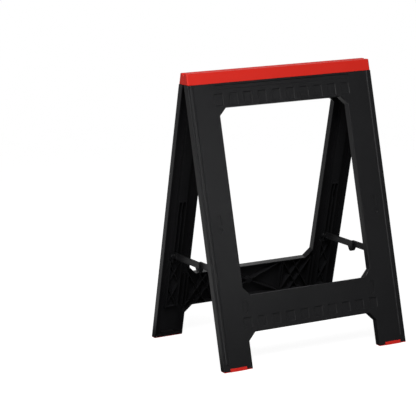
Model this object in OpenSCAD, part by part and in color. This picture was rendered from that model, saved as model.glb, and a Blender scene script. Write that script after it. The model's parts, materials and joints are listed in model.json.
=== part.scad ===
// Folding sawhorse: two moulded A-frames from one mould, hinged under their caps, held open
// by a two-link folding brace on each side. The origin is on the floor, under the middle of
// the hinge. X runs along the top, the front frame leans towards -Y, and Z is up.

/* [Overall] */
// Height from the floor to the top of the caps
height = 780; // [720:5:840]
// Width of each frame, from side to side
width = 588; // [560:1:640]
// Angle that each frame leans from upright when the sawhorse stands open, in degrees
lean = 14; // [12:0.5:15]

/* [Frames] */
// Thickness of each moulded frame
frame_t = 19.5; // [18:0.5:24]
// Thickness of the outer skin
skin_t = 3; // [2.4:0.2:4]
// Thickness of the walls around the frame and its openings
wall_t = 3; // [2.4:0.2:4]
// Thickness of the stiffening ribs
rib_t = 2.2; // [1.6:0.2:3]
// Width of each leg
leg_w = 88.5; // [80:0.5:96]
// Height of the lower crossbar's lower edge above the floor
crossbar_low = 94; // [80:1:110]
// Height of the lower crossbar's upper edge above the floor
crossbar_high = 191; // [170:1:200]
// Height of the window's upper edge above the floor
window_high = 685; // [660:1:700]
// Size of the sloping corners of the openings
corner = 22; // [12:1:30]
// Depth of the pockets in the outer face
relief = 1.8; // [0.8:0.2:1.8]
// Height of the raised bead down each leg's outer face
bead_h = 1.8; // [0.6:0.2:2]

/* [Hinge] */
// Distance of the hinge axis below the top of the caps
axis_drop = 38; // [38:0.5:44]
// Radius of the hinge knuckles
knuckle_r = 5.6; // [5:0.1:6]
// Diameter of the hinge pins
hinge_pin_d = 6; // [5:0.5:6]
// Radial clearance of every pin in the parts that turn on it
running_gap = 0.07; // [0.02:0.01:0.1]

/* [Caps and feet] */
// Height of the caps
cap_h = 30.6; // [28:0.2:31]
// Length of the caps
cap_l = 586; // [540:1:588]
// Wall thickness of the caps
cap_wall = 3; // [2:0.2:3.6]
// Thickness of the soles under the legs
sole_t = 2; // [1.5:0.5:4]
// Width of the tab on each foot's outer face
tab_w = 51; // [40:1:60]
// Height of the tab on each foot's outer face
tab_h = 9; // [7:0.5:16]

/* [Brace] */
// Height of the brace bars above the floor
brace_h = 248.5; // [236:0.5:256]
// Depth of the brace bars' centreline behind the hinge axis, in the frames
brace_depth = 12.6; // [12.4:0.1:13]
// Height of the brace bars
bar_h = 17.4; // [13:0.2:17.6]
// Thickness of the brace bars
bar_t = 6; // [5:0.2:7]
// Diameter of the brace pivot pins and centre rivets
brace_pin_d = 5; // [4:0.5:6]

/* [Hidden] */
$fn = 64;
eps = 0.01;
clear = 0.3;                              // space between parts that move past each other
cap_gap = 0.25;                           // from each cap to the middle plane when open
cap_proud = 0.6;                          // from the frame's outer face to the cap's
groove_w = 5;                             // half of the groove between the caps
groove_h = 6;

half_w = width / 2;
hinge_z = height - axis_drop;
rim = knuckle_r + clear;                  // depth of the frame's inner rim behind the axis
outer = rim + frame_t;                    // depth of the frame's outer face
floor_depth = outer - skin_t;             // depth of the inside of the skin
rib_top = rim + 2;                        // depth of the crossbar ribs' edges
channel_top = rim + 1.2;                  // depth of the brace channel ribs' edges
lattice_top = rim + 8;                    // depth of the leg lattice's edges
land_top = rim + 3;                       // depth of the raised land above the channel

// Middle of a leg's brace channel: its middle rib ends at the plane between the links
function channel_x(side) = side * brace_x - rib_t / 2;

// Distance along the leaning frame, from the axis, of a height on its outer face
function along(h) = (h - hinge_z - outer * sin(lean)) / cos(lean);

frame_top = along(height - cap_h);
frame_low = along(-10);                   // the legs are cut level with the floor afterwards
window_top = along(window_high);
window_low = along(crossbar_high);
gap_top = along(crossbar_low);
leg_in = half_w - leg_w;
brace_x = half_w - leg_w / 2 + 1;         // the plane between the two links of a brace

leg_axis = half_w - leg_w / 2;            // middle of each leg
inset = 0.4;                              // of the soles from the legs' faces
tab_t = 1.2;                              // of the feet's tabs, past the outer face
peg_w = 30;                               // peg that holds each foot in its leg
peg_t = 7;
peg_h = 9;

// World Y of the leg's end at a depth, level with the top of the sole
function leg_y(depth) = -depth * cos(lean)
    + (sole_t - hinge_z - depth * sin(lean)) * tan(lean);

bead_in = 7.7;                            // from the leg's side to the bead
bead_w = 9;
bead_slope = 1.8;                         // width of each sloping side of the bead
pocket_n = 10;                            // shallow pockets along each bar
pocket_pitch = 45;
pocket_w = 26;
pocket_slope = 1.3;                       // width of the pockets' sloping walls
top_row = [6, 38];                        // pockets' ends, above the window
low_row = [14, 41];                       // and above the lower edge of the crossbar
band = [5, 17];                           // edges of the band below the caps
band_l = 438;
dimple_h = 366;                           // height of the dimple on each leg
dimple_r = 7;
slot_up = 16;                             // from the dimple to the slot above it
slot = [10, 26];                          // width and height of that slot
side_pocket_h = 163;                      // height of the round-ended pocket on each leg
side_pocket = [14, 36];                   // its width and height

// Brace linkage. The link's bar is level when open and lies along the frame when folded,
// and its centre hub hangs brace_depth below the bar, on the middle plane in both.
pivot_along = (brace_h - hinge_z - brace_depth * sin(lean)) / cos(lean);
link_l = brace_depth * cos(lean) - pivot_along * sin(lean);
link_offset = clear + bar_t / 2;          // each link runs beside the brace's middle plane
boss_r = 6;                               // bosses around the brace pins
hub_r = 9;                                // lobe that hangs under the bars at the centre
lobe_room = [14, 10];                     // gap in the middle rib, below and above the lobe
lobe_w = 26;
slot_w = 9.8;                             // width of the channel's two slots
channel_half = slot_w + 1.5 * rib_t;
channel_low = pivot_along - 19;
channel_high = pivot_along + link_l + 30;
pin_head_r = 4.2;
pin_head_t = 1.6;
rivet_head_r = 4.6;
rivet_head_t = 1.8;

// Hinge knuckles of the front frame, as [from, to] along X. The back frame has the same
// ones, turned half round, so each list interlocks with its own mirror image.
knuckle_l = 18;
knuckle_gap = 0.4;
station = 200;                            // middle of each side hinge
root_h = 16;                              // block behind each knuckle, below the axis
root_top = knuckle_r - 1.2;               // and above it
side_step = knuckle_l + knuckle_gap;
knuckles = [
    [station - 1.5 * knuckle_l - knuckle_gap, station - knuckle_l / 2 - knuckle_gap],
    [station + knuckle_l / 2 + knuckle_gap, station + 1.5 * knuckle_l + knuckle_gap],
    [-station - knuckle_l / 2, -station + knuckle_l / 2],
    [-2 * side_step + knuckle_gap / 2, -side_step - knuckle_gap / 2],
    [knuckle_gap / 2, side_step - knuckle_gap / 2],
];
pressed = [true, true, false, true, true];   // which of them hold their pin fast

// ---- placing ------------------------------------------------------------------------

// Stands a part drawn in the frame's own axes (origin on the hinge axis) in the open pose
module front() {
    translate([0, 0, hinge_z]) rotate([-lean, 0, 0]) children();
}

// The same part on the back frame, which is the front one turned half round
module back() {
    rotate([0, 0, 180]) children();
}

// Raises a flat drawing of the frame (X across, Y along it) between two depths
module slab(near, far) {
    translate([0, -near, 0]) rotate([90, 0, 0]) linear_extrude(far - near) children();
}

// A cylinder along X, from one x to another
module rod(x0, x1, r) {
    translate([x0, 0, 0]) rotate([0, 90, 0]) cylinder(r = r, h = x1 - x0);
}

// ---- frame --------------------------------------------------------------------------

// Rectangle with sloping corners, grown outwards by g
module opening(x0, x1, y0, y1, c, g) {
    k = c + g * (2 - sqrt(2));
    polygon([
        [x0 - g + k, y0 - g], [x1 + g - k, y0 - g], [x1 + g, y0 - g + k], [x1 + g, y1 + g - k],
        [x1 + g - k, y1 + g], [x0 - g + k, y1 + g], [x0 - g, y1 + g - k], [x0 - g, y0 - g + k],
    ]);
}

// The frame's outline up to a given height, shrunk inwards by g at the sides and openings
module outline(g, top = frame_top - wall_t) {
    difference() {
        translate([-half_w + g, frame_low]) square([width - 2 * g, top - frame_low]);
        opening(-leg_in, leg_in, window_low, window_top, corner, g);
        opening(-leg_in, leg_in, frame_low - 100, gap_top, corner, g);
    }
}

// A flat rib between two points
module rib(a, b, t = rib_t) {
    d = b - a;
    translate(a) rotate(atan2(d[1], d[0])) translate([0, -t / 2]) square([norm(d), t]);
}

// Both diagonals of a bay
module cross_ribs(x0, x1, y0, y1) {
    rib([x0, y0], [x1, y1]);
    rib([x0, y1], [x1, y0]);
}

bay = 108;                                // half width of the crossbar's middle bay
bay_end = 205;                            // outer end of its lattice bays
lattice = (bay_end - bay) / 3;
twin = 3;                                 // from the bay's end to each of its twin ribs
hub_boss_r = 9;                           // boss where the middle bay's ribs cross
leg_rib_in = 10;                          // from the leg's inner side to its long rib
lattice_w = 36;                           // width of the lattice in each leg

module crossbar_ribs() {
    cross_ribs(-bay, bay, gap_top, window_low);
    translate([0, (gap_top + window_low) / 2]) circle(hub_boss_r);
    for (side = [-1, 1]) {
        for (x = [bay - twin, bay + twin, bay_end]) {
            rib([side * x, gap_top], [side * x, window_low]);
        }
        for (i = [0:1]) {
            x = bay + i * lattice;
            rib([side * x, gap_top], [side * (x + 2 * lattice), window_low]);
            rib([side * x, window_low], [side * (x + 2 * lattice), gap_top]);
        }
    }
}

module top_bar_ribs() {
    for (i = [0:pocket_n]) {
        x = (i - pocket_n / 2) * pocket_pitch;
        rib([x, window_top], [x, frame_top]);
    }
    for (side = [-1, 1]) rib([side * leg_in, window_top], [side * leg_in, frame_top]);
}

// Long ribs in each leg: two that carry on from the brace channel, and one by the crossbar
module leg_ribs() {
    for (side = [-1, 1]) {
        for (x = [channel_x(side) - lattice_w / 2, channel_x(side) + lattice_w / 2]) {
            rib([x, gap_top], [x, channel_low]);
        }
        x = side * (leg_in + leg_rib_in);
        rib([x, gap_top], [x, window_low]);
    }
}

// Narrow lattice between the two
module leg_lattice() {
    step = (channel_low - gap_top) / 2;
    for (side = [-1, 1]) {
        x0 = channel_x(side) - lattice_w / 2;
        x1 = x0 + lattice_w;
        for (y = [gap_top, gap_top + step]) cross_ribs(x0, x1, y, y + step);
        for (y = [gap_top, channel_low]) rib([x0, y], [x1, y]);
    }
}

// Two long ribs above the channel carry a raised land up to the top bar
module leg_land(x) {
    land_w = 2 * channel_half;
    for (side = [-1, 1]) {
        slab(land_top, outer - eps) translate([x + side * (channel_half - rib_t / 2) - rib_t / 2,
            channel_high]) square([rib_t, frame_top - wall_t - channel_high]);
    }
    slab(land_top, land_top + rib_t) translate([x - land_w / 2, channel_high])
        square([land_w, window_top - channel_high]);
}

// Three ribs with two round-topped slots. The slot at +X holds this frame's brace link. The
// middle rib is cut back where the other frame's link lies when the sawhorse is folded.
module brace_channel(x) {
    top = channel_high + 4;
    difference() {
        slab(channel_top, outer - eps) translate([x - channel_half, channel_low])
            square([2 * channel_half, top - channel_low]);
        for (side = [-1, 1]) {
            translate([x + side * (slot_w + rib_t) / 2, 0, 0])
                slab(rim - 1, floor_depth) brace_slot();
        }
        slab(rim - 1, hub_r + 2) translate([x - rib_t, pivot_along + link_l - lobe_room[0]])
            square([2 * rib_t, lobe_room[0] + lobe_room[1]]);
    }
}

module brace_slot() {
    r = slot_w / 2;
    translate([0, channel_high - r]) circle(r);
    translate([-r, channel_low - 10]) square([slot_w, channel_high - r - channel_low + 10]);
}

// Boss around the brace pin, outside the channel's outer rib
module brace_boss(x) {
    translate([0, -brace_depth, pivot_along])
        rod(x + channel_half - rib_t / 2, x + channel_half + 3, boss_r);
}

module brace_bore(x) {
    translate([0, -brace_depth, pivot_along])
        rod(x - rib_t / 2 - 1, x + channel_half + 4, brace_pin_d / 2);
}

// Barrel, and a block that ties it into the top bar
module knuckle(span) {
    w = span[1] - span[0];
    rod(span[0], span[1], knuckle_r);
    translate([span[0], -rim - 1, -knuckle_r]) cube([w, rim + 1, root_top + knuckle_r]);
    translate([span[0], -outer + 1, -root_h]) cube([w, frame_t - 1, root_h + root_top]);
}

module knuckle_bore(i) {
    r = hinge_pin_d / 2 + (pressed[i] ? 0 : running_gap);
    rod(knuckles[i][0] - 1, knuckles[i][1] + 1, r);
}

// Section of the cap's outside, in the open pose, shrunk inwards by g. The outer side
// leans with the frame, and the inner side is upright, on the middle plane. Its top edge
// slopes, so that the two caps together have a shallow groove along their middle.
module cap_section(g) {
    cap_out = outer + cap_proud - g;
    low = height - cap_h;
    slope = atan2(groove_h, groove_w);
    function lean_y(h) = -cap_out * cos(lean) + (h - hinge_z - cap_out * sin(lean)) * tan(lean);
    polygon([
        [lean_y(low), low], [lean_y(height - g), height - g],
        [-cap_gap - groove_w - g * tan(slope / 2), height - g],
        [-cap_gap - g, height - groove_h - g * tan(45 - slope / 2)], [-cap_gap - g, low],
    ]);
}

// Extrudes a section drawn as (y, z) along X, about the middle
module along_x(l) {
    translate([-l / 2, 0, 0]) rotate([90, 0, 90]) linear_extrude(l) children();
}

// The rail that the cap is pushed on to, with pockets from the inner side
module tongue() {
    low = height - cap_h;
    deep = 11;
    edge = 3;
    difference() {
        along_x(cap_l - 2 * cap_wall - 0.2) cap_section(cap_wall + 0.1);
        for (i = [-6:5]) {
            translate([i * pocket_pitch + rib_t / 2, -cap_gap - deep, low + edge])
                cube([pocket_pitch - rib_t, deep, cap_h - cap_wall - groove_h - edge - 2]);
        }
    }
}

// Level floor of each leg, with a block whose socket takes the foot's peg
module leg_ends() {
    intersection() {
        front() slab(rim, outer - eps) outline(0);
        translate([-half_w, -height, sole_t]) cube([width, height, wall_t]);
    }
    for (side = [-1, 1]) intersection() {
        front() slab(rim + 5, outer - eps) translate([side * leg_axis - peg_w / 2 - 3, frame_low])
            square([peg_w + 6, 60]);
        translate([-half_w, -height, sole_t]) cube([width, height, peg_h + wall_t]);
    }
}

// Peg of a foot, grown by g, in the world's axes
module peg(side, g) {
    y0 = leg_y(rim + frame_t / 2);
    translate([side * leg_axis - peg_w / 2 - g, y0 - peg_t / 2 - g, sole_t - eps])
        cube([peg_w + 2 * g, peg_t + 2 * g, peg_h + g]);
}

// Section of a shallow pocket in the outer face, w wide at the face and d deep, with walls
// that slope by g. X runs across it, and Y towards the inside of the frame.
module dent(w, d, g) {
    translate([0, -outer]) polygon([
        [-w / 2 - g / d, -1], [w / 2 + g / d, -1], [w / 2 - g, d], [g - w / 2, d],
    ]);
}

// A long dent across the frame, between two heights
module wide_dent(l, low, high, d, g) {
    translate([-l / 2, 0, (low + high) / 2]) rotate([90, 0, 90]) linear_extrude(l)
        rotate(90) mirror([0, 1]) dent(high - low, d, g);
}

// Row of shallow pockets along a bar
module pocket_row(low, high) {
    intersection() {
        wide_dent(pocket_n * pocket_pitch, low, high, relief, pocket_slope);
        translate([0, 0, low - 5]) linear_extrude(high - low + 10) {
            for (i = [0:pocket_n - 1]) {
                translate([(i - (pocket_n - 1) / 2) * pocket_pitch, 0])
                    dent(pocket_w, relief, pocket_slope);
            }
        }
    }
}

// Flat shape with round ends, along Y
module round_ended(size) {
    r = size[0] / 2;
    for (end = [-1, 1]) translate([0, end * (size[1] / 2 - r)]) circle(r);
    square([size[0], size[1] - 2 * r], center = true);
}

// Hollows in the frame's outer face
module outer_relief() {
    pocket_row(window_top + top_row[0], window_top + top_row[1]);
    pocket_row(gap_top + low_row[0], gap_top + low_row[1]);
    wide_dent(band_l, frame_top - band[1], frame_top - band[0], relief, pocket_slope);
    slab(outer - relief, outer + 1) for (side = [-1, 1]) {
        translate([side * leg_axis, along(dimple_h)]) {
            circle(dimple_r);
            translate([-slot[0] / 2, slot_up]) square(slot);
        }
        translate([side * (leg_in - 1), along(side_pocket_h)]) round_ended(side_pocket);
    }
}

// Raised bead down the outer side of each leg
module leg_beads() {
    low = along(tab_h + 12);
    for (side = [-1, 1]) {
        translate([side * (half_w - bead_in - bead_w / 2), -outer, low])
            linear_extrude(frame_top + 10 - low) polygon([
                [-bead_w / 2, eps], [bead_w / 2, eps],
                [bead_w / 2 - bead_slope, -bead_h], [bead_slope - bead_w / 2, -bead_h],
            ]);
    }
}

// One moulded frame in its own axes, without the tongue and the level cut at the floor
module moulding() {
    difference() {
        union() {
            difference() {
                slab(rim, outer) outline(0, frame_top + 10);
                slab(rim - 1, floor_depth) outline(wall_t);
            }
            intersection() {
                slab(rib_top, outer - eps) outline(eps);
                union() {
                    slab(0, outer) {
                        crossbar_ribs();
                        top_bar_ribs();
                        leg_ribs();
                    }
                    slab(lattice_top, outer) leg_lattice();
                }
            }
            for (side = [-1, 1]) {
                leg_land(channel_x(side));
                brace_channel(channel_x(side));
                brace_boss(channel_x(side));
            }
            for (span = knuckles) knuckle(span);
            leg_beads();
        }
        outer_relief();
        for (side = [-1, 1]) brace_bore(channel_x(side));
        for (i = [0:len(knuckles) - 1]) knuckle_bore(i);
    }
}

module frame() {
    low = height - cap_h;
    color([0.14, 0.14, 0.15]) difference() {
        union() {
            difference() {
                front() moulding();
                translate([-half_w - 1, -2 * outer, low]) cube([width + 2, 3 * outer, cap_h]);
            }
            translate([0, 0, -eps]) tongue();
            leg_ends();
        }
        translate([-half_w - 1, -height, -50]) cube([width + 2, height, 50 + sole_t]);
        for (side = [-1, 1]) peg(side, 0.1);
    }
}

// ---- caps and feet --------------------------------------------------------------------

// Cap of one frame, with rounded ends on its outer side
module cap() {
    corner_r = 4;
    out = outer + cap_proud;
    color([0.80, 0.14, 0.11]) difference() {
        intersection() {
            along_x(cap_l) cap_section(0);
            front() translate([0, 0, -20]) linear_extrude(80) {
                square([cap_l - 2 * corner_r, 2 * out], center = true);
                translate([-cap_l / 2, corner_r - out]) square([cap_l, 60]);
                for (side = [-1, 1]) {
                    translate([side * (cap_l / 2 - corner_r), corner_r - out]) circle(corner_r);
                }
            }
        }
        along_x(cap_l - 2 * cap_wall) cap_section(cap_wall);
    }
}

// Foot of one leg: a sole, a peg up into the leg and a tab on its outer face
module foot(side) {
    color([0.82, 0.15, 0.11]) {
        intersection() {
            front() slab(rim + inset, outer - inset)
                translate([side * leg_axis - leg_w / 2 + inset, frame_low])
                    square([leg_w - 2 * inset, 60]);
            translate([-half_w, -height, 0]) cube([width, height, sole_t]);
        }
        peg(side, 0);
        intersection() {
            front() slab(outer - inset - eps, outer + tab_t)
                translate([side * leg_axis - tab_w / 2, frame_low]) square([tab_w, 60]);
            union() {
                translate([-half_w, -height, 0]) cube([width, height, sole_t]);
                front() slab(outer, outer + 5) translate([-half_w, frame_low])
                    square([width, along(tab_h) - frame_low]);
            }
            translate([-half_w, -height, 0]) cube([width, height, 2 * tab_h]);
        }
    }
}

// ---- pins -----------------------------------------------------------------------------

module hinge_pin(x0, x1) {
    color("silver") translate([0, 0, hinge_z]) rod(x0, x1, hinge_pin_d / 2);
}

// Headed pin through the channel's middle and outer ribs
module brace_pin(side) {
    x = channel_x(side);
    x1 = x + channel_half + 3;
    color([0.17, 0.17, 0.18]) front() translate([0, -brace_depth, pivot_along]) {
        rod(x - rib_t / 2, x1, brace_pin_d / 2);
        rod(x1, x1 + pin_head_t, pin_head_r);
    }
}

// ---- brace ----------------------------------------------------------------------------

// Height of the brace's centre pivot, below the bars
hub_z = brace_h - brace_depth;

// Link drawn in the open pose, on the front frame's side
module link(side) {
    x = side * brace_x + link_offset;
    boss_x = side * brace_x + slot_w / 2;
    color([0.17, 0.17, 0.18]) difference() {
        union() {
            translate([x, 0, 0]) along_x(bar_t) link_side();
            translate([boss_x, 0, 0]) along_x(slot_w - 2 * clear) translate([-link_l, brace_h])
                circle(boss_r - 0.4);
        }
        for (face = [-1, 1]) {
            translate([x + face * bar_t / 2, 0, 0]) along_x(2) link_hollow();
        }
        translate([0, -link_l, brace_h])
            rod(boss_x - slot_w, boss_x + slot_w, brace_pin_d / 2 + running_gap);
        translate([0, 0, hub_z]) rod(x - bar_t, x + bar_t, brace_pin_d / 2);
    }
}

module link_side() {
    for (y = [-link_l, 0]) translate([y, brace_h]) circle(bar_h / 2);
    translate([-link_l, brace_h - bar_h / 2]) square([link_l, bar_h]);
    translate([0, hub_z]) circle(hub_r);
    turn = 20;
    side_low = hub_z - hub_r * sin(turn);
    polygon([
        [-lobe_w / 2, brace_h - bar_h / 2 + eps], [-hub_r * cos(turn), side_low],
        [hub_r * cos(turn), side_low], [bar_h / 2, brace_h],
    ]);
}

// Shallow hollow along the bar, which leaves a flange above and below
module link_hollow() {
    end = 14;
    flange = 2.4;
    translate([-link_l + end, brace_h - bar_h / 2 + flange])
        square([link_l - 2 * end, bar_h - 2 * flange]);
}

// The centre rivet's post, which stays in the back link, and its screw, in the front link
module rivet_half(side) {
    x = side * brace_x;
    x1 = x + link_offset + bar_t / 2;
    color([0.17, 0.17, 0.18]) translate([0, 0, hub_z]) {
        rod(x + clear, x1, brace_pin_d / 2);
        rod(x1, x1 + rivet_head_t, rivet_head_r);
    }
}

// ---- nodes ----------------------------------------------------------------------------

centre_pin_end = 2 * side_step - knuckle_gap / 2;
side_pin_in = station - 1.5 * knuckle_l - knuckle_gap;
side_pin_out = station + 1.5 * knuckle_l + knuckle_gap;

frame();  // front_frame
back() frame();  // back_frame
cap();  // front_top_cap
back() cap();  // back_top_cap
foot(-1);  // front_left_foot
foot(1);  // front_right_foot
back() foot(1);  // back_left_foot
back() foot(-1);  // back_right_foot
hinge_pin(-side_pin_out, -side_pin_in);  // left_hinge_pin
hinge_pin(-centre_pin_end, centre_pin_end);  // centre_hinge_pin
hinge_pin(side_pin_in, side_pin_out);  // right_hinge_pin
link(-1);  // left_front_brace_link
back() link(1);  // left_back_brace_link
link(1);  // right_front_brace_link
back() link(-1);  // right_back_brace_link
brace_pin(-1);  // left_front_brace_pin
back() brace_pin(1);  // left_back_brace_pin
brace_pin(1);  // right_front_brace_pin
back() brace_pin(-1);  // right_back_brace_pin
back() rivet_half(1);  // left_brace_post
rivet_half(-1);  // left_brace_screw
back() rivet_half(-1);  // right_brace_post
rivet_half(1);  // right_brace_screw
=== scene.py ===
"""Folding sawhorse: its finishes, rounded edges, studio and camera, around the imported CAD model.

Metres, +Z up, the same frame as the CAD: the origin is on the floor under the hinge, X runs along
the top and the front frame leans towards -Y.
"""

import json
import math

import bpy
from mathutils import Matrix, Vector


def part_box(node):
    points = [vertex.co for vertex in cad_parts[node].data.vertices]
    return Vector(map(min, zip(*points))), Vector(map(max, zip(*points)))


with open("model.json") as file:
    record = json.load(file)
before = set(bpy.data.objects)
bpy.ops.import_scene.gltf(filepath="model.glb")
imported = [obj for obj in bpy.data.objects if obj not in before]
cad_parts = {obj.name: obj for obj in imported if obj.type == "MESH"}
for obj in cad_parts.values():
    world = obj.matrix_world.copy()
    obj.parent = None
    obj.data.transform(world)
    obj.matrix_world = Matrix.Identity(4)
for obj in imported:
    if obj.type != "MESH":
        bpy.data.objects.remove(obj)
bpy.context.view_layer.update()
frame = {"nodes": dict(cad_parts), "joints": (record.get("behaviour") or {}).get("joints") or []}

FOLD = frame["joints"][0]       # leg_fold, the hinge under the caps
HINGE_Z = FOLD["pos_m"][2]
LEAN = math.radians(FOLD["range_deg"][1] / 2)   # each frame turns half of the fold
HALF_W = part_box("front_frame")[1].x
LEG_W = 0.0885
RIM = 0.0059                    # depth of the frames' inner rims behind the axis
OUTER = RIM + 0.0195            # depth of their outer faces
WINDOW = (0.0515, 0.5755)       # the window's ends, along the frame from the axis
GAP_TOP = 0.665                 # top of the gap between the legs, along the frame
NEAR = 0.0003                   # how close an edge is to a plane to lie in it
WHITE = (1, 1, 1, 1)


# ---- node helpers -------------------------------------------------------------------------


class Net:
    """Adds nodes to a tree. An input is a socket, which is linked, or a value."""

    def __init__(self, tree):
        self.tree = tree

    def add(self, kind, inputs=(), out=0, **settings):
        """Returns one output of the new node, or the node itself where out is None."""
        node = self.tree.nodes.new(kind)
        for key, value in settings.items():
            setattr(node, key, value)
        pairs = inputs.items() if isinstance(inputs, dict) else enumerate(inputs)
        for key, value in pairs:
            if isinstance(value, bpy.types.NodeSocket):
                self.tree.links.new(value, node.inputs[key])
            else:
                node.inputs[key].default_value = value
        return node.outputs[out] if out is not None else node

    def math(self, operation, *values):
        return self.add("ShaderNodeMath", values, operation=operation)

    def above(self, value, low):
        return self.math("GREATER_THAN", value, low)

    def below(self, value, high):
        return self.math("LESS_THAN", value, high)

    def between(self, value, low, high):
        return self.all(self.above(value, low), self.below(value, high))

    def all(self, *values):
        result = values[0]
        for value in values[1:]:
            result = self.math("MULTIPLY", result, value)
        return result

    def any(self, *values):
        result = values[0]
        for value in values[1:]:
            result = self.math("MAXIMUM", result, value)
        return result

    def ramp(self, value, start, end, low, high, **settings):
        """low up to start, high from end on, and even in between."""
        return self.add("ShaderNodeMapRange", [value, start, end, low, high], **settings)

    def noise(self, place, scale, detail):
        settings = {"Vector": place, "Scale": scale, "Detail": detail}
        return self.add("ShaderNodeTexNoise", settings)

    def for_the_eye(self, others, eye):
        """One shader for rays from the camera, and another for light that bounces."""
        from_eye = self.add("ShaderNodeLightPath")
        return self.add("ShaderNodeMixShader", [from_eye, others, eye])


def new_net(owner):
    """An empty node tree on a material or a world."""
    owner.use_nodes = True
    owner.node_tree.nodes.clear()
    return Net(owner.node_tree)


# ---- rounded edges ------------------------------------------------------------------------

WIDEST = 0.0022                 # rounding of the frames' outline, where the others are shares of it
FACE = 0.25                     # share on the other edges of the frames' outer faces
FLANGE = 0.16                   # share on the rims of the frames' flanges
CAP, SMALL, PIN = 0.6, 0.25, 0.15   # shares on the caps, on the links and feet, and on the rest
SEGMENTS = 3
SHARP = math.radians(25)        # edges that are rounded turn by more than this
CREASE = math.radians(35)       # edges left after rounding that shade as sharp ones
FLAT = math.radians(0.5)        # edges that turn by less than this are cleared
TOUCHING = 1e-6                 # distance at which corners are welded


def edge_place(net):
    """|x|, the depth and the distance along the frame of each edge's middle."""
    place = net.add("GeometryNodeInputPosition")
    xyz = net.add("ShaderNodeSeparateXYZ", [place], out=None)
    side = net.math("ABSOLUTE", xyz.outputs["X"])
    away = net.math("ABSOLUTE", xyz.outputs["Y"])
    drop = net.math("SUBTRACT", HINGE_Z, xyz.outputs["Z"])
    turn, lift = math.cos(LEAN), math.sin(LEAN)
    depth = net.math("SUBTRACT", net.math("MULTIPLY", away, turn), net.math("MULTIPLY", drop, lift))
    along = net.math("ADD", net.math("MULTIPLY", away, lift), net.math("MULTIPLY", drop, turn))
    return side, depth, along


def outer_edge(net):
    """1 on edges that stand out, and 0 on flat and inward ones."""
    angle = net.add("GeometryNodeInputMeshEdgeAngle", out="Signed Angle")
    return net.above(angle, SHARP)


def frame_rule(net):
    """Wide roundings on the outline of the outer face, and small ones on the flanges' rims.
    The ribs stay sharp in the mesh, and their finish rounds them."""
    side, depth, along = edge_place(net)
    outer = net.above(depth, OUTER - NEAR)
    mouth = net.all(
        net.below(side, HALF_W - LEG_W + NEAR),
        net.any(net.between(along, *WINDOW), net.above(along, GAP_TOP)),
    )
    outline = net.all(outer, net.any(net.above(side, HALF_W - NEAR), mouth))
    rim = net.below(depth, RIM + NEAR)
    share = net.any(outline, net.math("MULTIPLY", outer, FACE), net.math("MULTIPLY", rim, FLANGE))
    return net.all(outer_edge(net), share)


def even_rule(share):
    return lambda net: net.math("MULTIPLY", outer_edge(net), share)


def crease_rule(net):
    angle = net.add("GeometryNodeInputMeshEdgeAngle", out="Unsigned Angle")
    return net.add("FunctionNodeCompare", [angle, CREASE], operation="GREATER_THAN")


def edge_writer(name, attribute, kind, rule):
    """A modifier tree that stores a rule's result on every edge."""
    tree = bpy.data.node_groups.new(name, "GeometryNodeTree")
    for way in ("INPUT", "OUTPUT"):
        tree.interface.new_socket("Geometry", in_out=way, socket_type="NodeSocketGeometry")
    net = Net(tree)
    source = net.add("NodeGroupInput")
    stored = net.add(
        "GeometryNodeStoreNamedAttribute",
        {"Geometry": source, "Name": attribute, "Value": rule(net)},
        data_type=kind,
        domain="EDGE",
    )
    net.add("NodeGroupOutput", [stored], out=None)
    return tree


def rounding(name, rule):
    return edge_writer(name, "bevel_weight_edge", "FLOAT", rule)


def round_off(obj, widths, creases):
    """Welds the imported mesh, clears its flat edges and rounds the others."""
    weld = obj.modifiers.new("weld", "WELD")
    weld.merge_threshold = TOUCHING
    flat = obj.modifiers.new("flat", "DECIMATE")
    flat.decimate_type = "DISSOLVE"
    flat.angle_limit = FLAT
    weights = obj.modifiers.new("weights", "NODES")
    weights.node_group = widths
    bevel = obj.modifiers.new("bevel", "BEVEL")
    bevel.limit_method = "WEIGHT"
    bevel.width = WIDEST
    bevel.segments = SEGMENTS
    bevel.use_clamp_overlap = False
    crease = obj.modifiers.new("creases", "NODES")
    crease.node_group = creases
    even = obj.modifiers.new("even", "WEIGHTED_NORMAL")
    even.keep_sharp = True
    for polygon in obj.data.polygons:
        polygon.use_smooth = True


# ---- finishes -----------------------------------------------------------------------------

CLOUD_SCALE, CLOUD_DETAIL = 7.0, 5.0        # clouds in the tone and the gloss
CLOUD_SPAN = (0.3, 0.7)                     # the part of the clouds' range that is common
GLOSS_SPREAD = 0.04
GRAIN_SCALE, GRAIN_DETAIL = 1400.0, 1.5     # the moulded grain
GRAIN_DEPTH = 0.0002
SHEEN = 0.35
COLOUR_A, COLOUR_B, COLOUR_OUT = 6, 7, 2    # a Mix node's sockets for colours


def plastic(name, dark, light, rough, grain, soft_edge):
    """Moulded plastic: cloudy tone, a fine moulded grain, and soft edges where ribs stay sharp."""
    material = bpy.data.materials.new(name)
    net = new_net(material)
    place = net.add("ShaderNodeTexCoord", out="Object")
    cloud = net.noise(place, CLOUD_SCALE, CLOUD_DETAIL)
    fine = net.noise(place, GRAIN_SCALE, GRAIN_DETAIL)
    tone = net.add(
        "ShaderNodeMix",
        {0: cloud, COLOUR_A: (*dark, 1), COLOUR_B: (*light, 1)},
        out=COLOUR_OUT,
        data_type="RGBA",
    )
    gloss = net.ramp(cloud, *CLOUD_SPAN, rough - GLOSS_SPREAD, rough + GLOSS_SPREAD)
    edges = net.add("ShaderNodeBevel", {"Radius": soft_edge}, samples=4)
    bump = net.add(
        "ShaderNodeBump",
        {"Strength": grain, "Distance": GRAIN_DEPTH, "Height": fine, "Normal": edges},
    )
    shader = net.add(
        "ShaderNodeBsdfPrincipled",
        {"Base Color": tone, "Roughness": gloss, "Normal": bump, "Specular IOR Level": SHEEN},
    )
    net.add("ShaderNodeOutputMaterial", [shader], out=None)
    return material


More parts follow.
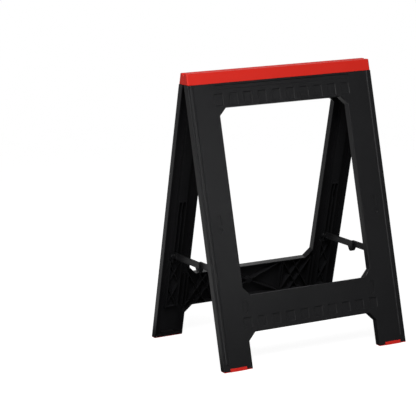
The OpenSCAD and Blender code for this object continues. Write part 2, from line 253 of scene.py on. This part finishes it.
FINISHES = {
    "frame_black": plastic(
        "black_plastic",
        dark=(0.0060, 0.0060, 0.0067),
        light=(0.0092, 0.0092, 0.0102),
        rough=0.38,
        grain=0.25,
        soft_edge=0.0005,
    ),
    "link_black": plastic(
        "black_nylon",
        dark=(0.007, 0.007, 0.0075),
        light=(0.010, 0.010, 0.011),
        rough=0.40,
        grain=0.2,
        soft_edge=0.0004,
    ),
    "cap_red": plastic(
        "red_plastic",
        dark=(0.56, 0.012, 0.005),
        light=(0.63, 0.017, 0.008),
        rough=0.42,
        grain=0.2,
        soft_edge=0.0004,
    ),
    "foot_red": plastic(
        "red_rubber",
        dark=(0.65, 0.014, 0.008),
        light=(0.73, 0.021, 0.012),
        rough=0.5,
        grain=0.3,
        soft_edge=0.0004,
    ),
    "steel": plastic(
        "zinc_steel",
        dark=(0.5, 0.5, 0.5),
        light=(0.6, 0.6, 0.6),
        rough=0.3,
        grain=0.1,
        soft_edge=0.0003,
    ),
}


def dress():
    """Rounds every CAD node and gives it its finish."""
    small = rounding("small_rounding", even_rule(SMALL))
    widths = {
        "frame": rounding("frame_rounding", frame_rule),
        "cap": rounding("cap_rounding", even_rule(CAP)),
        "link": small,
        "foot": small,
    }
    pin = rounding("pin_rounding", even_rule(PIN))
    creases = edge_writer("creases", "sharp_edge", "BOOLEAN", crease_rule)
    for name, obj in frame["nodes"].items():
        kind = name.split("_")[-1]
        slot = obj.data.materials[0].name
        round_off(obj, widths.get(kind, pin), creases)
        obj.material_slots[0].material = FINISHES[slot]


# ---- studio and camera --------------------------------------------------------------------

SKY_FRONT, SKY_BACK = 0.12, 0.22            # strength of the sky before and behind the object
SKY_TURN = 0.6                              # where, as a direction's Y, it reaches each of them

FLOOR_R = 6.0
FLOOR_SIDES = 96
FLOOR_FADE = (1.5, 4.0)                     # radii between which the floor fades away
SEEN_GREY, SEEN_GLOW = 0.25, 0.92           # the floor, as the camera sees it
DARK_GREY, BACK_GLOW = 0.05, 0.5            # and as it lights the object
GLOW_LEFT, GLOW_BEHIND = 0.30, 0.25         # distances from the origin where its glow starts
GLOW_EDGE = 0.15                            # width of the glow's soft edge

SOFTBOXES = {                               # place, target, size in metres, power in watts
    "key": ((-1.2, -2.0, 2.9), (0, 0, 0.4), (1.4, 1.4), 108),
    "side": ((0.78, -2.15, 0.97), (-0.25, -0.15, 0.45), (0.3, 0.3), 2.2),
    "left": ((-2.3, -1.6, 0.75), (0, 0, 0.4), (0.5, 1.3), 8),
    "back": ((1.4, 2.2, 2.2), (0, 0, 0.2), (1.0, 0.8), 5),
}


def sky():
    """Dim light from all round, a little stronger from behind. The camera sees plain white."""
    world = bpy.data.worlds.new("studio")
    bpy.context.scene.world = world
    net = new_net(world)
    around = net.add("ShaderNodeTexCoord", out="Generated")
    xyz = net.add("ShaderNodeSeparateXYZ", [around], out=None)
    strength = net.ramp(xyz.outputs["Y"], -SKY_TURN, SKY_TURN, SKY_FRONT, SKY_BACK)
    lit = net.add("ShaderNodeBackground", [WHITE, strength])
    white = net.add("ShaderNodeBackground", [WHITE, 1.0])
    net.add("ShaderNodeOutputWorld", [net.for_the_eye(lit, white)], out=None)


def paper(net, grey, glow):
    matt = net.add("ShaderNodeBsdfDiffuse", [(grey, grey, grey, 1)])
    light = net.add("ShaderNodeEmission", [WHITE, glow])
    return net.add("ShaderNodeAddShader", [matt, light])


def floor_paper():
    """Even and white to the camera. For light that bounces it is dark under and before the
    object, and glows behind it and to its left. Both fade away towards the floor's edge."""
    material = bpy.data.materials.new("floor_paper")
    net = new_net(material)
    place = net.add("ShaderNodeTexCoord", out="Object")
    xyz = net.add("ShaderNodeSeparateXYZ", [place], out=None)
    left = net.math("MULTIPLY_ADD", xyz.outputs["X"], -1.0, -GLOW_LEFT)
    behind = net.math("SUBTRACT", xyz.outputs["Y"], GLOW_BEHIND)
    beyond = net.math("MAXIMUM", left, behind)
    glow = net.ramp(beyond, 0.0, GLOW_EDGE, 0.0, BACK_GLOW, interpolation_type="SMOOTHSTEP")
    near = net.for_the_eye(paper(net, DARK_GREY, glow), paper(net, SEEN_GREY, SEEN_GLOW))
    far = net.add("ShaderNodeVectorMath", [place], out="Value", operation="LENGTH")
    fade = net.ramp(far, *FLOOR_FADE, 0.0, 1.0, interpolation_type="SMOOTHSTEP")
    clear = net.add("ShaderNodeBsdfTransparent")
    mixed = net.add("ShaderNodeMixShader", [fade, near, clear])
    net.add("ShaderNodeOutputMaterial", [mixed], out=None)
    return material


def floor():
    mesh = bpy.data.meshes.new("floor")
    turns = [math.tau * i / FLOOR_SIDES for i in range(FLOOR_SIDES)]
    corners = [(FLOOR_R * math.cos(turn), FLOOR_R * math.sin(turn), 0) for turn in turns]
    mesh.from_pydata(corners, [], [range(FLOOR_SIDES)])
    sheet = bpy.data.objects.new("floor", mesh)
    bpy.context.scene.collection.objects.link(sheet)
    mesh.materials.append(floor_paper())


def softbox(name, place, target, size, power):
    data = bpy.data.lights.new(name, "AREA")
    data.shape = "RECTANGLE"
    data.size, data.size_y = size
    data.energy = power
    light = bpy.data.objects.new(name, data)
    light.location = place
    light.rotation_mode = "QUATERNION"
    light.rotation_quaternion = (Vector(target) - Vector(place)).to_track_quat("-Z", "Y")
    bpy.context.scene.collection.objects.link(light)


def camera():
    """Looks down at the front frame from its left, a little off level."""
    yaw, pitch, roll = (math.radians(a) for a in (29.05, 11.76, -0.68))
    aim = Vector((0, 0, 0.39))                  # the object's middle
    aside, above, away = 0.1936, 0.0095, 5.030  # the camera's shifts from it, left, down and back
    flat = math.cos(pitch)
    forward = Vector((math.sin(yaw) * flat, math.cos(yaw) * flat, -math.sin(pitch)))
    right = Vector((math.cos(yaw), -math.sin(yaw), 0))
    up = right.cross(forward)
    right, up = (
        math.cos(roll) * right + math.sin(roll) * up,
        -math.sin(roll) * right + math.cos(roll) * up,
    )
    data = bpy.data.cameras.new("camera")
    data.lens, data.sensor_width = 155.74, 36
    data.clip_start, data.clip_end = 0.1, 50
    eye = bpy.data.objects.new("camera", data)
    turn = Matrix((right, up, -forward)).transposed().to_4x4()
    place = aim - aside * right - above * up - away * forward
    eye.matrix_world = Matrix.Translation(place) @ turn
    bpy.context.scene.collection.objects.link(eye)
    bpy.context.scene.camera = eye


bpy.context.scene.view_settings.view_transform = "Standard"
bpy.context.scene.view_settings.look = "None"
dress()
sky()
floor()
for name, settings in SOFTBOXES.items():
    softbox(name, *settings)
camera()
